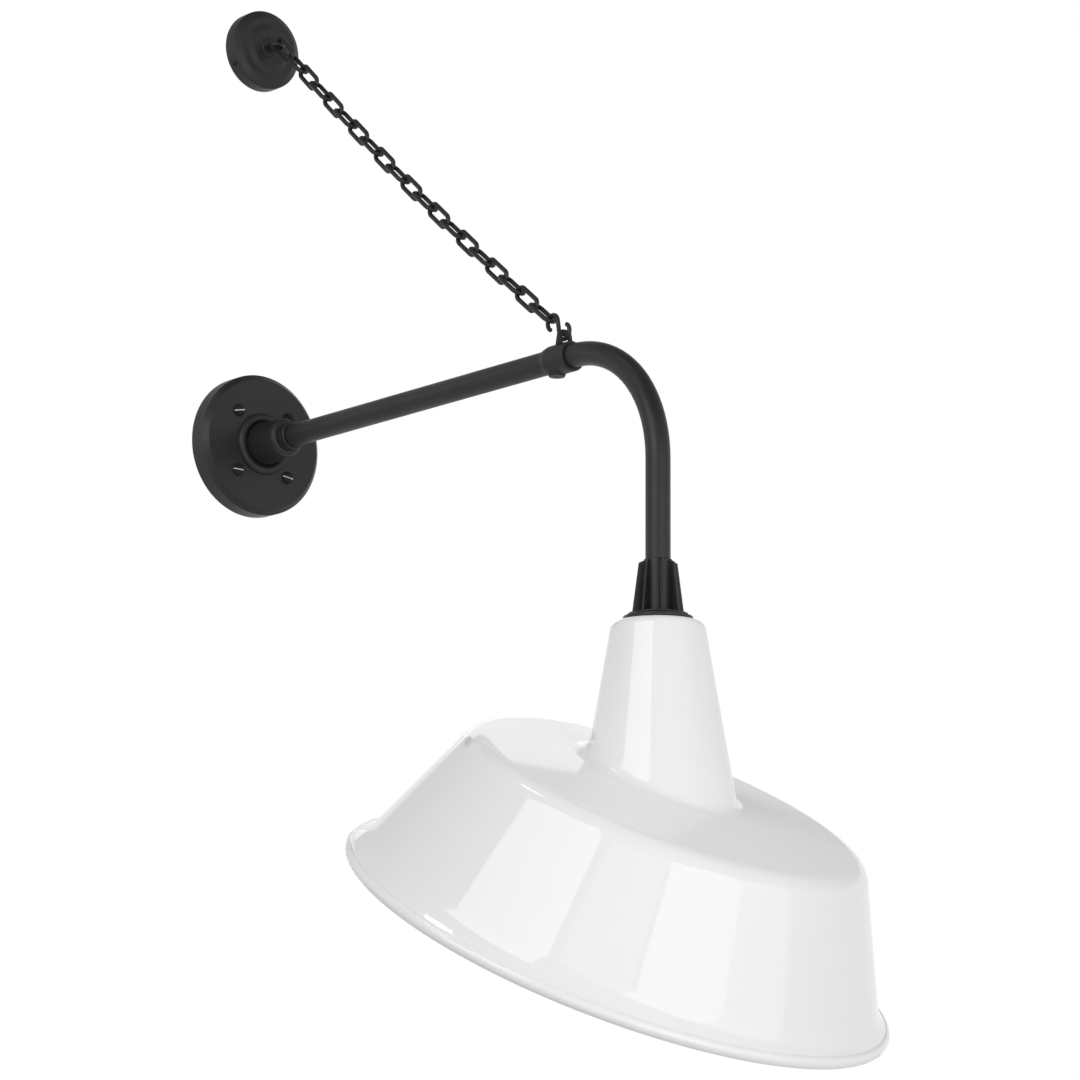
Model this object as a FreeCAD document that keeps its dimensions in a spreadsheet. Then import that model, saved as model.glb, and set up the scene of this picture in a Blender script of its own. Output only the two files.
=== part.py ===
import FreeCAD, Part
import math
import os

import Sketcher
from FreeCAD import Placement, Rotation, Vector

# Barn light on a bent arm, in millimetres, +Z up, on the -Y side of a wall at y = 0.
# The origin is the centre of the lower wall plate's back face, and the arm runs out along -Y.
# A turned piece has its own Z axis along its length, and OUTWARD points that axis away from the wall.

doc = FreeCAD.newDocument("barn_light")
sheet = doc.addObject("Spreadsheet::Sheet", "dim")

SIZES = (
    # Clearances
    ("seat_gap", 0.05),
    ("screw_gap", 0.2),
    ("hang_gap", 0.3),
    ("overrun", 5.0),
    # Arm pipe
    ("pipe_radius", 10.67),
    ("pipe_wall", 2.77),
    ("arm_reach", 593.7),
    ("arm_bend", 110.2),
    ("arm_socket", 32.0),
    ("fitter_drop", 249.6),
    # Lower wall plate
    ("plate_radius", 68.2),
    ("plate_wall", 6.0),
    ("plate_thick", 21.2),
    ("plate_chamfer", 5.0),
    ("plate_front", 7.0),
    ("boss_radius", 21.0),
    ("boss_tip", 18.0),
    ("boss_length", 40.8),
    ("boss_round", 4.5),
    ("boss_bead", 4.6),
    ("bead_sink", 0.3),
    ("bolt_spacing", 58.0),
    # Gasket behind the plate
    ("gasket_width", 5.0),
    ("gasket_seat", 3.0),
    ("gasket_thick", 2.0),
    # Slotted round head wall screws
    ("wall_screw_neck", 2.1),
    ("wall_screw_shank", 2.4),
    ("wall_screw_head", 5.9),
    ("wall_screw_height", 2.8),
    ("wall_screw_round", 2.0),
    ("screw_reach", 14.0),
    ("slot_width", 1.3),
    ("slot_depth", 1.5),
    # Collar where the pipe leaves the boss
    ("collar_wall", 2.6),
    ("collar_length", 5.0),
    ("collar_groove", 0.8),
    ("collar_lip", 3.4),
    # Small set screws
    ("grub_radius", 2.5),
    ("grub_proud", 0.8),
    # Grounding screw
    ("ground_place", 32.0),
    ("ground_shank", 2.0),
    ("ground_grip", 4.5),
    ("ground_head", 4.6),
    ("ground_height", 3.0),
    ("ground_round", 1.2),
    # Upper rosette
    ("rosette_height", 397.4),
    ("rosette_radius", 39.2),
    ("rosette_wall", 5.2),
    ("rosette_thick", 17.6),
    ("rosette_slope", 7.5),
    ("rosette_slope_depth", 4.2),
    ("rosette_round", 2.5),
    ("rosette_front", 4.6),
    ("rosette_step_foot", 24.8),
    ("rosette_step_radius", 19.0),
    ("rosette_step", 2.2),
    ("rosette_boss_radius", 9.8),
    ("rosette_boss", 1.3),
    ("rosette_boss_round", 1.2),
    ("rosette_grub_depth", 7.6),
    ("rosette_grub_angle", 211.0),
    ("bracket_gap", 1.2),
    ("bracket_thick", 11.0),
    ("bracket_screw_place", 17.0),
    ("bracket_screw_neck", 1.7),
    ("bracket_screw_shank", 2.0),
    ("bracket_screw_head", 4.0),
    ("bracket_screw_height", 2.6),
    ("bracket_screw_seat", 3.0),
    # Screw eye that holds the chain
    ("eye_place", 29.5),
    ("eye_radius", 6.5),
    ("eye_wire", 2.0),
    ("eye_grip", 9.0),
    # Chain and its S hook
    ("link_count", 20),
    ("link_wire", 2.15),
    ("link_width", 5.75),
    ("chain_sag", 6.8),
    ("s_hook_wire", 2.0),
    ("s_hook_bend", 6.8),
    ("s_hook_lean", 15.9),
    ("s_hook_rise", 11.0),
    ("s_hook_sweep", 233.0),
    # Clamp collar and its ear
    ("clamp_place", 449.0),
    ("clamp_length", 33.0),
    ("clamp_wall", 2.83),
    ("clamp_taper", 7.0),
    ("clamp_taper_depth", 1.5),
    ("clamp_round", 1.2),
    ("ear_place", 469.9),
    ("ear_thick", 3.2),
    ("ear_height", 25.5),
    ("ear_foot", 6.0),
    ("ear_foot_width", 9.8),
    ("ear_tip_width", 6.4),
    ("ear_round", 5.4),
    ("ear_hole", 3.0),
    ("ear_hole_place", 16.9),
    ("ear_hole_spread", 2.0),
    ("clamp_boss_place", 460.0),
    ("clamp_boss_foot", 13.0),
    ("clamp_boss_radius", 7.0),
    ("clamp_boss", 1.4),
    # Finned fitter
    ("hub_wall", 1.5),
    ("hub_height", 52.1),
    ("hub_floor", 8.0),
    ("hub_round", 0.8),
    ("flange_radius", 29.4),
    ("flange_lip", 2.9),
    ("flange_bevel", 4.6),
    ("flange_step_radius", 25.4),
    ("flange_height", 5.6),
    ("fin_count", 8),
    ("fin_thick", 2.2),
    ("fin_root", 11.4),
    ("fin_foot", 22.0),
    ("fin_tip", 16.4),
    ("fin_height", 48.9),
    ("fin_crown", 50.9),
    ("fin_turn", 12.7),
    ("fitter_grub_place", 34.3),
    ("fitter_grub_angle", 80.2),
    # Enamelled shade
    ("shade_turn", 4.0),
    ("shade_wall", 1.6),
    ("shade_tilt", 28.8),
    ("bowl_radius", 240.0),
    ("bowl_bead", 5.5),
    ("flare_width", 13.2),
    ("flare_height", 16.5),
    ("flare_round", 40.0),
    ("wall_lean", 24.83),
    ("shoulder_height", 133.4),
    ("shoulder_round", 21.0),
    ("crown_slope", 4.5),
    ("crown_offset", 21.58),
    ("neck_radius", 39.24),
    ("neck_round", 8.0),
    ("neck_taper", 9.76),
    ("neck_height", 136.07),
    ("neck_fillet", 13.0),
    # Seal and clamping pieces at the neck
    ("seal_thick", 1.0),
    ("seal_radius", 27.0),
    ("nipple_radius", 8.3),
    ("nipple_wall", 2.0),
    ("nipple_length", 20.7),
    ("washer_radius", 23.0),
    ("washer_thick", 1.5),
    ("nut_radius", 14.0),
    ("nut_thick", 5.0),
    ("nut_side_count", 6),
    # Lampholder
    ("cap_radius", 18.6),
    ("cap_height", 5.7),
    ("cap_round", 3.0),
    ("holder_radius", 20.5),
    ("holder_length", 50.0),
    ("holder_floor", 14.0),
    ("holder_round", 2.0),
    ("shell_radius", 13.35),
    ("shell_wall", 0.6),
    ("shell_setback", 3.0),
    ("shell_hole", 6.0),
    ("shell_taper", 4.0),
    ("shell_taper_depth", 5.6),
    ("contact_stem", 3.4),
    ("contact_stem_length", 7.0),
    ("contact_button", 4.8),
    ("contact_thick", 2.2),
    ("contact_round", 0.8),
    ("contact_travel", 1.5),
    ("terminal_shank", 1.6),
    ("terminal_grip", 5.0),
    ("terminal_head", 3.0),
    ("terminal_height", 1.8),
    ("terminal_round", 0.6),
    ("terminal_place", 7.0),
)

for row, (alias, number) in enumerate(SIZES, start=1):
    sheet.set("A%d" % row, str(number))
    sheet.setAlias("A%d" % row, alias)
doc.recompute()

UPRIGHT = Rotation()
OUTWARD = Rotation(Vector(1, 0, 0), Vector(0, 0, 1), Vector(0, -1, 0), "ZXY")
DOWNWARD = Rotation(Vector(1, 0, 0), Vector(0, -1, 0), Vector(0, 0, -1), "ZXY")
ARM_BEND = Rotation(Vector(0, 0, 1), Vector(0, -1, 0), Vector(1, 0, 0), "ZXY")
QUARTER_TURN = 90
FULL_TURN = 360
TOUCH = 1e-4

pieces = []


def value(formula):
    """The number that a formula on the sheet gives."""
    return float(sheet.evalExpression(formula))


def bind(thing, **formulas):
    """Tie properties to formulas on the sheet."""
    for name, formula in formulas.items():
        thing.setExpression(name, formula)
    return thing


def put(thing, turn=UPRIGHT, x="0", y="0", z="0"):
    """Give an object its orientation, and tie its place to the sheet."""
    thing.Placement = Placement(Vector(value(x), value(y), value(z)), turn)
    for axis, formula in zip("xyz", (x, y, z)):
        thing.setExpression("Placement.Base." + axis, formula)
    return thing


def keep(thing, label):
    """Name a finished piece and list it for export."""
    thing.Label = label
    pieces.append(thing)
    return thing


def primitive(kind, name, place, **formulas):
    """A Part primitive with its sizes and its place tied to the sheet."""
    thing = doc.addObject("Part::" + kind, name)
    return put(bind(thing, **formulas), **place)


def fused(name, *members):
    """One solid from several that meet."""
    thing = doc.addObject("Part::MultiFuse", name)
    thing.Shapes = list(members)
    thing.Refine = True
    return thing


def cut(name, base, tool):
    """A solid less another."""
    thing = doc.addObject("Part::Cut", name)
    thing.Base = base
    thing.Tool = tool
    return thing


def new_body(name, place):
    """An empty body in its place."""
    return put(doc.addObject("PartDesign::Body", name), **place)


def outline(body, name, corners):
    """A closed sketch of straight runs on the body's upright plane, its corners tied to the sheet."""
    sketch = body.newObject("Sketcher::SketchObject", name)
    plane = next(item for item in body.Origin.OriginFeatures if item.Role == "XZ_Plane")
    sketch.AttachmentSupport = (plane, [""])
    sketch.MapMode = "FlatFace"
    ends = [Vector(value(across), value(up), 0) for across, up in corners]
    following = ends[1:] + ends[:1]
    for start, finish in zip(ends, following):
        sketch.addGeometry(Part.LineSegment(start, finish), False)
    for index in range(len(ends)):
        after = (index + 1) % len(ends)
        sketch.addConstraint(Sketcher.Constraint("Coincident", index, 2, after, 1))
    for index, corner in enumerate(corners):
        for direction, formula in zip(("DistanceX", "DistanceY"), corner):
            place = Sketcher.Constraint(direction, -1, 1, index, 1, value(formula))
            number = sketch.addConstraint(place)
            sketch.setExpression("Constraints[%d]" % number, formula)
    return sketch


def turned(name, place, corners):
    """A body turned from an outline of (radius, height) corners about its own Z axis."""
    body = new_body(name, place)
    sketch = outline(body, name + "_outline", corners)
    feature = body.newObject("PartDesign::Revolution", name + "_turning")
    feature.Profile = sketch
    feature.ReferenceAxis = (sketch, ["V_Axis"])
    feature.Angle = FULL_TURN
    doc.recompute()
    return body


def rounded(body, radius, *places):
    """Round a body's full circles at (radius, height) places over."""
    base = body.Tip
    names = []
    for number, edge in enumerate(base.Shape.Edges, start=1):
        if not isinstance(edge.Curve, Part.Circle):
            continue
        for across, up in places:
            same_radius = abs(edge.Curve.Radius - value(across)) < TOUCH
            if same_radius and abs(edge.Curve.Center.z - value(up)) < TOUCH:
                names.append("Edge%d" % number)
    feature = body.newObject("PartDesign::Fillet", base.Name + "_rounding")
    feature.Base = (base, names)
    bind(feature, Radius=radius)
    doc.recompute()
    return body


def bored(body, radius, depth, **place):
    """Take a straight round hole out of a body."""
    feature = body.newObject("PartDesign::SubtractiveCylinder", body.Name + "_hole")
    put(bind(feature, Radius=radius, Height=depth), **place)
    doc.recompute()
    return body


def slotted(body, reach, top):
    """Cut a screwdriver slot across the top of a body."""
    feature = body.newObject("PartDesign::SubtractiveBox", body.Name + "_slot")
    bind(feature, Length="2 * (%s)" % reach, Width="dim.slot_width", Height="dim.slot_depth")
    put(feature, UPRIGHT, "-(%s)" % reach, "-dim.slot_width / 2", "%s - dim.slot_depth" % top)
    doc.recompute()
    return body


def machine_screw(label, place, steps, head, height, rounding):
    """A slotted round head screw, its head on its place, with a radius and an end for each step back."""
    corners = [("0", height), (head, height), (head, "0")]
    start = "0"
    for radius, depth in steps:
        finish = "-(%s)" % depth
        corners += [(radius, start), (radius, finish)]
        start = finish
    corners.append(("0", start))
    body = rounded(turned(label, place, corners), rounding, (head, height))
    return keep(slotted(body, head, height), label)


def grub_screw(label, place, length):
    """A slotted set screw that runs along its place's Z axis."""
    corners = (("0", "0"), ("dim.grub_radius", "0"), ("dim.grub_radius", length), ("0", length))
    return keep(slotted(turned(label, place, corners), "dim.grub_radius", length), label)


def ring(label, place, inner, outer, thick):
    """A flat ring."""
    corners = ((inner, "0"), (outer, "0"), (outer, thick), (inner, thick))
    return keep(turned(label, place, corners), label)


def radial(angle):
    """Orientation of a piece whose Z axis points out at an angle round an upright axis."""
    return Rotation(Vector(0, 0, 1), Vector(math.cos(angle), math.sin(angle), 0))


# Lower wall plate with its boss for the arm

PLATE_CAVITY = "(dim.plate_radius - dim.plate_wall)"
PLATE_FLOOR = "(dim.plate_thick - dim.plate_front)"
BOSS_FRONT = "(dim.plate_thick + dim.boss_length)"
ARM_START = "(dim.plate_thick + dim.boss_length - dim.arm_socket)"
PIPE_BORE = "(dim.pipe_radius + dim.seat_gap)"
PIPE_INNER = "(dim.pipe_radius - dim.pipe_wall)"
BOLT = "(dim.bolt_spacing / 2)"
CORNERS = [(x, z) for x in (BOLT, "-" + BOLT) for z in (BOLT, "-" + BOLT)]
GASKET_OUTER = "(%s + dim.gasket_seat)" % PLATE_CAVITY
GASKET_DEPTH = "(dim.gasket_thick + dim.seat_gap)"


def make_wall_plate():
    """Hollow round plate with a tapered, beaded boss, a gasket seat and four screw holes."""
    corners = (
        (PIPE_INNER, PLATE_FLOOR),
        (PLATE_CAVITY, PLATE_FLOOR),
        (PLATE_CAVITY, GASKET_DEPTH),
        (GASKET_OUTER, GASKET_DEPTH),
        (GASKET_OUTER, "0"),
        ("dim.plate_radius", "0"),
        ("dim.plate_radius", "dim.plate_thick - dim.plate_chamfer"),
        ("dim.plate_radius - dim.plate_chamfer", "dim.plate_thick"),
        ("dim.boss_radius", "dim.plate_thick"),
        ("dim.boss_tip", BOSS_FRONT),
        (PIPE_BORE, BOSS_FRONT),
        (PIPE_BORE, ARM_START),
        (PIPE_INNER, ARM_START),
    )
    plate = turned("wall_plate", dict(turn=OUTWARD), corners)
    rounded(plate, "dim.boss_round", ("dim.boss_tip", BOSS_FRONT))
    bead = plate.newObject("PartDesign::AdditiveTorus", "boss_bead_ring")
    bind(bead, Radius1="dim.boss_radius + dim.boss_bead - dim.bead_sink", Radius2="dim.boss_bead")
    put(bead, z="dim.plate_thick")
    doc.recompute()
    for x, z in CORNERS:
        depth = "dim.plate_front + 2 * dim.overrun"
        start = PLATE_FLOOR + " - dim.overrun"
        bored(plate, "dim.wall_screw_shank + dim.screw_gap", depth, x=x, y=z, z=start)
    blind = "dim.plate_thick - dim.plate_front - dim.overrun"
    ground_depth = "dim.overrun + dim.ground_grip + dim.seat_gap"
    bored(plate, "dim.ground_shank + dim.seat_gap", ground_depth, y="-dim.ground_place", z=blind)
    keep(plate, "wall_plate")


def make_plate_fittings():
    """Gasket, wall screws and the grounding screw inside the plate."""
    inner = "%s - dim.seat_gap - dim.gasket_width" % GASKET_OUTER
    ring("wall_gasket", dict(turn=OUTWARD), inner, GASKET_OUTER + " - dim.seat_gap", "dim.gasket_thick")
    for number, (x, z) in enumerate(CORNERS, start=1):
        neck = ("dim.wall_screw_neck", "dim.plate_front + dim.screw_gap")
        thread = ("dim.wall_screw_shank", "dim.plate_thick + dim.screw_reach")
        machine_screw(
            "wall_plate_screw_%d" % number,
            dict(turn=OUTWARD, x=x, y="-dim.plate_thick", z=z),
            (neck, thread),
            "dim.wall_screw_head",
            "dim.wall_screw_height",
            "dim.wall_screw_round",
        )
    inward = OUTWARD.multiply(DOWNWARD)
    machine_screw(
        "ground_screw",
        dict(turn=inward, y="-" + PLATE_FLOOR, z="-dim.ground_place"),
        (("dim.ground_shank", "dim.ground_grip"),),
        "dim.ground_head",
        "dim.ground_height",
        "dim.ground_round",
    )


# Arm pipe and the collar at its root


def bent_rod(name, radius, start, finish):
    """A round bar that runs out along the arm, bends down through a quarter turn and drops."""
    bend = "dim.arm_reach - dim.arm_bend"
    run = primitive(
        "Cylinder",
        name + "_run",
        dict(turn=OUTWARD, y="-(%s)" % start),
        Radius=radius,
        Height="%s - (%s)" % (bend, start),
    )
    elbow = primitive(
        "Torus",
        name + "_elbow",
        dict(turn=ARM_BEND, y="-(%s)" % bend, z="-dim.arm_bend"),
        Radius1="dim.arm_bend",
        Radius2=radius,
    )
    elbow.Angle3 = QUARTER_TURN
    drop = primitive(
        "Cylinder",
        name + "_drop",
        dict(turn=DOWNWARD, y="-dim.arm_reach", z="-dim.arm_bend"),
        Radius=radius,
        Height="%s - dim.arm_bend" % finish,
    )
    return fused(name, run, elbow, drop)


def make_arm():
    """The bent steel pipe and the stepped collar where it leaves the boss."""
    finish = "(dim.fitter_drop - dim.hub_floor - dim.seat_gap)"
    outside = bent_rod("pipe_outside", "dim.pipe_radius", ARM_START + " + dim.seat_gap", finish)
    inside = bent_rod("pipe_inside", PIPE_INNER, ARM_START + " - dim.overrun", finish + " + dim.overrun")
    keep(cut("pipe", outside, inside), "arm_pipe")
    face = "dim.pipe_radius + dim.collar_wall"
    waist = face + " - dim.collar_groove"
    corners = (
        (PIPE_BORE, "0"),
        (face, "0"),
        (face, "dim.collar_length"),
        (waist, "dim.collar_length"),
        (waist, "dim.collar_length + dim.collar_groove"),
        (face, "dim.collar_length + dim.collar_groove"),
        (face, "dim.collar_length + dim.collar_lip"),
        (waist, "dim.collar_length + dim.collar_lip + dim.collar_groove"),
        (PIPE_BORE, "dim.collar_length + dim.collar_lip + dim.collar_groove"),
    )
    place = dict(turn=OUTWARD, y="-%s - dim.seat_gap" % BOSS_FRONT)
    keep(turned("pipe_collar", place, corners), "pipe_collar")


# Upper rosette with the screw eye

ROSETTE_CAVITY = "(dim.rosette_radius - dim.rosette_wall)"
ROSETTE_FLOOR = "(dim.rosette_thick - dim.rosette_front)"
ROSETTE_RIM = "(dim.rosette_thick - dim.rosette_slope_depth)"
ROSETTE_FACE = "(dim.rosette_radius - dim.rosette_slope)"
ROSETTE_STEP = "(dim.rosette_thick + dim.rosette_step)"
ROSETTE_FRONT = "(dim.rosette_thick + dim.rosette_step + dim.rosette_boss)"
BRACKET_RADIUS = "(%s - dim.bracket_gap)" % ROSETTE_CAVITY
EYE_HOLE = "(dim.eye_wire + dim.screw_gap)"
UP_THERE = dict(turn=OUTWARD, z="dim.rosette_height")
GRUB_HOLE = "dim.grub_radius + dim.seat_gap"


def make_rosette_cover():
    """Sloped and stepped round cover, hollow behind, with a side hole for its set screw."""
    corners = (
        (EYE_HOLE, ROSETTE_FLOOR),
        (ROSETTE_CAVITY, ROSETTE_FLOOR),
        (ROSETTE_CAVITY, "0"),
        ("dim.rosette_radius", "0"),
        ("dim.rosette_radius", ROSETTE_RIM),
        (ROSETTE_FACE, "dim.rosette_thick"),
        ("dim.rosette_step_foot", "dim.rosette_thick"),
        ("dim.rosette_step_radius", ROSETTE_STEP),
        ("dim.rosette_boss_radius", ROSETTE_STEP),
        ("dim.rosette_boss_radius", ROSETTE_FRONT),
        (EYE_HOLE, ROSETTE_FRONT),
    )
    cover = turned("rosette_cover", UP_THERE, corners)
    rim = ("dim.rosette_radius", ROSETTE_RIM)
    slope_top = (ROSETTE_FACE, "dim.rosette_thick")
    step_top = ("dim.rosette_step_radius", ROSETTE_STEP)
    rounded(cover, "dim.rosette_round", rim, slope_top, step_top)
    rounded(cover, "dim.rosette_boss_round", ("dim.rosette_boss_radius", ROSETTE_FRONT))
    angle = math.radians(value("dim.rosette_grub_angle"))
    across = dict(turn=radial(angle), z="dim.rosette_grub_depth")
    bored(cover, GRUB_HOLE, "dim.rosette_radius + dim.overrun", **across)
    keep(cover, "rosette_cover")
    length = "dim.rosette_radius + dim.grub_proud - %s - dim.seat_gap" % BRACKET_RADIUS
    reach = "(%s + dim.seat_gap)" % BRACKET_RADIUS
    place = dict(
        turn=OUTWARD.multiply(radial(angle)),
        x=reach + " * cos(dim.rosette_grub_angle)",
        y="-dim.rosette_grub_depth",
        z="dim.rosette_height + %s * sin(dim.rosette_grub_angle)" % reach,
    )
    grub_screw("rosette_set_screw", place, length)


def make_rosette_bracket():
    """Round wall bracket inside the cover, with its two screws."""
    hole = "dim.eye_wire + dim.seat_gap"
    blind = "dim.bracket_thick - dim.eye_grip - dim.seat_gap"
    corners = (
        ("0", "0"),
        (BRACKET_RADIUS, "0"),
        (BRACKET_RADIUS, "dim.bracket_thick"),
        (hole, "dim.bracket_thick"),
        (hole, blind),
        ("0", blind),
    )
    bracket = turned("rosette_bracket", UP_THERE, corners)
    seat = "dim.bracket_thick - dim.bracket_screw_seat"
    for number, side in enumerate(("", "-"), start=1):
        x = side + "dim.bracket_screw_place"
        through = "dim.bracket_thick + 2 * dim.overrun"
        bored(bracket, "dim.bracket_screw_shank + dim.screw_gap", through, x=x, z="-dim.overrun")
        counterbore = "dim.bracket_screw_head + dim.screw_gap"
        bored(bracket, counterbore, "dim.bracket_screw_seat + dim.overrun", x=x, z=seat)
        machine_screw(
            "rosette_bracket_screw_%d" % number,
            dict(turn=OUTWARD, x=x, y="-(%s)" % seat, z="dim.rosette_height"),
            (("dim.bracket_screw_neck", seat), ("dim.bracket_screw_shank", seat + " + dim.screw_reach")),
            "dim.bracket_screw_head",
            "dim.bracket_screw_height",
            "dim.rosette_boss_round",
        )
    keep(bracket, "rosette_bracket")


def make_screw_eye():
    """Closed eye on a shank that is screwed into the bracket."""
    loop = primitive(
        "Torus",
        "eye_loop",
        dict(y="-dim.eye_place", z="dim.rosette_height"),
        Radius1="dim.eye_radius",
        Radius2="dim.eye_wire",
    )
    root = "dim.bracket_thick - dim.eye_grip"
    shank = primitive(
        "Cylinder",
        "eye_shank",
        dict(turn=OUTWARD, y="-(%s)" % root, z="dim.rosette_height"),
        Radius="dim.eye_wire",
        Height="dim.eye_place - dim.eye_radius - (%s)" % root,
    )
    keep(fused("eye", loop, shank), "screw_eye")


# Clamp collar on the arm, with the ear for the S hook


def make_clamp_ear():
    """Upright plate with a rounded top, which stands on the clamp collar."""
    ear = new_body("clamp_ear", dict(y="-dim.ear_place"))
    corners = (
        ("-dim.ear_foot_width", "dim.ear_foot"),
        ("dim.ear_foot_width", "dim.ear_foot"),
        ("dim.ear_tip_width", "dim.ear_height"),
        ("-dim.ear_tip_width", "dim.ear_height"),
    )
    plate = ear.newObject("PartDesign::Pad", "ear_plate")
    plate.Profile = outline(ear, "ear_outline", corners)
    plate.SideType = "Symmetric"
    bind(plate, Length="dim.ear_thick")
    doc.recompute()
    names = []
    for number, edge in enumerate(plate.Shape.Edges, start=1):
        middle = edge.CenterOfMass
        if abs(middle.y) < TOUCH and abs(middle.z - value("dim.ear_height")) < TOUCH:
            names.append("Edge%d" % number)
    rounding = ear.newObject("PartDesign::Fillet", "ear_rounding")
    rounding.Base = (plate, names)
    bind(rounding, Radius="dim.ear_round")
    return ear


def make_clamp():
    """Tapered collar, ear with a long hole, screw boss below, and the set screw in it."""
    outer = "(dim.pipe_radius + dim.clamp_wall)"
    corners = (
        ("0", "0"),
        (outer + " - dim.clamp_taper_depth", "0"),
        (outer, "dim.clamp_taper"),
        (outer, "dim.clamp_length"),
        ("0", "dim.clamp_length"),
    )
    collar = turned("clamp_collar", dict(turn=OUTWARD, y="-dim.clamp_place"), corners)
    near_end = (outer + " - dim.clamp_taper_depth", "0")
    rounded(collar, "dim.clamp_round", near_end, (outer, "dim.clamp_length"))
    below = dict(turn=DOWNWARD, y="-dim.clamp_boss_place")
    boss = primitive(
        "Cone",
        "clamp_boss",
        below,
        Radius1="dim.clamp_boss_foot",
        Radius2="dim.clamp_boss_radius",
        Height=outer + " + dim.clamp_boss",
    )
    body = fused("clamp_body", collar, make_clamp_ear(), boss)
    bore = primitive(
        "Cylinder",
        "clamp_bore",
        dict(turn=OUTWARD, y="-dim.clamp_place + dim.overrun"),
        Radius=PIPE_BORE,
        Height="dim.clamp_length + 2 * dim.overrun",
    )
    through = "dim.ear_thick + 2 * dim.overrun"
    front = "-dim.ear_place + dim.ear_thick / 2 + dim.overrun"
    ends = []
    for name, side in (("right", ""), ("left", "-")):
        place = dict(turn=OUTWARD, x=side + "dim.ear_hole_spread", y=front, z="dim.ear_hole_place")
        ends.append(primitive("Cylinder", "ear_hole_" + name, place, Radius="dim.ear_hole", Height=through))
    middle = primitive(
        "Box",
        "ear_hole_middle",
        dict(
            x="-dim.ear_hole_spread",
            y="%s - (%s)" % (front, through),
            z="dim.ear_hole_place - dim.ear_hole",
        ),
        Length="2 * dim.ear_hole_spread",
        Width=through,
        Height="2 * dim.ear_hole",
    )
    thread = primitive(
        "Cylinder",
        "clamp_thread",
        below,
        Radius=GRUB_HOLE,
        Height=outer + " + dim.clamp_boss + dim.overrun",
    )
    keep(cut("clamp", body, fused("clamp_holes", bore, middle, thread, *ends)), "chain_clamp")
    tip = "(dim.pipe_radius + dim.seat_gap)"
    place = dict(turn=DOWNWARD, y="-dim.clamp_boss_place", z="-" + tip)
    grub_screw("clamp_set_screw", place, "%s + dim.clamp_boss - %s" % (outer, tip))


# S hook and chain, in the upright plane through the arm


def arc_points(centre, radius, start, sweep):
    """Start, middle and end of an arc in the upright plane through the arm."""
    angles = (start, start + sweep / 2, start + sweep)
    return [centre + Vector(0, math.cos(angle), math.sin(angle)) * radius for angle in angles]


def wire_bar(path, radius):
    """A round wire along a path, square to its start."""
    edge = path.Edges[0]
    start = edge.valueAt(edge.FirstParameter)
    section = Part.Wire([Part.makeCircle(radius, start, edge.tangentAt(edge.FirstParameter))])
    return path.makePipeShell([section], True, False)


def s_hook_centres():
    """Centres of the upper and the lower bend: the lower one goes round the ear's top bar."""
    inner = value("dim.s_hook_bend - dim.s_hook_wire - dim.hang_gap")
    above = math.sqrt(inner * inner - value("dim.ear_thick / 2") ** 2)
    lower = Vector(0, -value("dim.ear_place"), value("dim.ear_hole_place + dim.ear_hole") + above)
    return lower + Vector(0, value("dim.s_hook_lean"), value("dim.s_hook_rise")), lower


def make_s_hook():
    """Two open bends joined by the straight run that touches both."""
    upper, lower = s_hook_centres()
    bend = value("dim.s_hook_bend")
    apart = lower - upper
    heading = math.atan2(apart.z, apart.y)
    leave = heading - math.acos(2 * bend / apart.Length)
    sweep = math.radians(value("dim.s_hook_sweep"))
    over = arc_points(upper, bend, leave - sweep, sweep)
    under = arc_points(lower, bend, leave + math.pi, -sweep)
    edges = [
        Part.Arc(*over).toShape(),
        Part.makeLine(over[-1], under[0]),
        Part.Arc(*under).toShape(),
    ]
    hook = doc.addObject("Part::Feature", "s_hook")
    hook.Shape = wire_bar(Part.Wire(edges), value("dim.s_hook_wire"))
    keep(hook, "s_hook")


def link_shape(half):
    """A chain link along Z whose wire's end bends lie that far from its middle."""
    bend = value("dim.link_width")
    straight = half - bend
    right = (Vector(bend, 0, -straight), Vector(bend, 0, straight))
    left = (Vector(-bend, 0, straight), Vector(-bend, 0, -straight))
    edges = [
        Part.makeLine(*right),
        Part.Arc(right[1], Vector(0, 0, half), left[0]).toShape(),
        Part.makeLine(*left),
        Part.Arc(left[1], Vector(0, 0, -half), right[0]).toShape(),
    ]
    return wire_bar(Part.Wire(edges), value("dim.link_wire"))


def chain_joints(count):
    """Places where each link bears on the next, on a shallow arc from the eye to the S hook."""
    upper, _ = s_hook_centres()
    loop = Vector(0, -value("dim.eye_place + dim.eye_radius"), value("dim.rosette_height"))
    down = (upper - loop).normalize()
    below = Vector(0, -down.z, down.y)
    start = loop - down * value("dim.eye_wire + dim.hang_gap / 2")
    finish = upper - down * value("dim.s_hook_bend - dim.s_hook_wire - dim.hang_gap / 2")
    middle = (start + finish) / 2
    half = (finish - start).Length / 2
    sag = value("dim.chain_sag")
    radius = (half * half + sag * sag) / (2 * sag)
    reach = math.asin(half / radius)
    joints = []
    for number in range(count + 1):
        angle = reach * (2 * number / count - 1)
        drop = sag - radius * (1 - math.cos(angle))
        joints.append(middle + down * radius * math.sin(angle) + below * drop)
    return joints


def make_chain():
    """Equal links, every other one turned edge on."""
    joints = chain_joints(round(value("dim.link_count")))
    pitch = (joints[1] - joints[0]).Length
    shape = link_shape(pitch / 2 + value("dim.link_wire + dim.hang_gap / 2"))
    for number, (start, finish) in enumerate(zip(joints, joints[1:]), start=1):
        along = (finish - start).normalize()
        across = Vector(0, -along.z, along.y) if number % 2 else Vector(1, 0, 0)
        label = "chain_link_%02d" % number
        link = doc.addObject("Part::Feature", label)
        link.Shape = shape.copy()
        link.Placement = Placement((start + finish) / 2, Rotation(across, along.cross(across), along, "ZXY"))
        keep(link, label)


# Finned fitter at the end of the pipe, with its set screw

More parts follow.
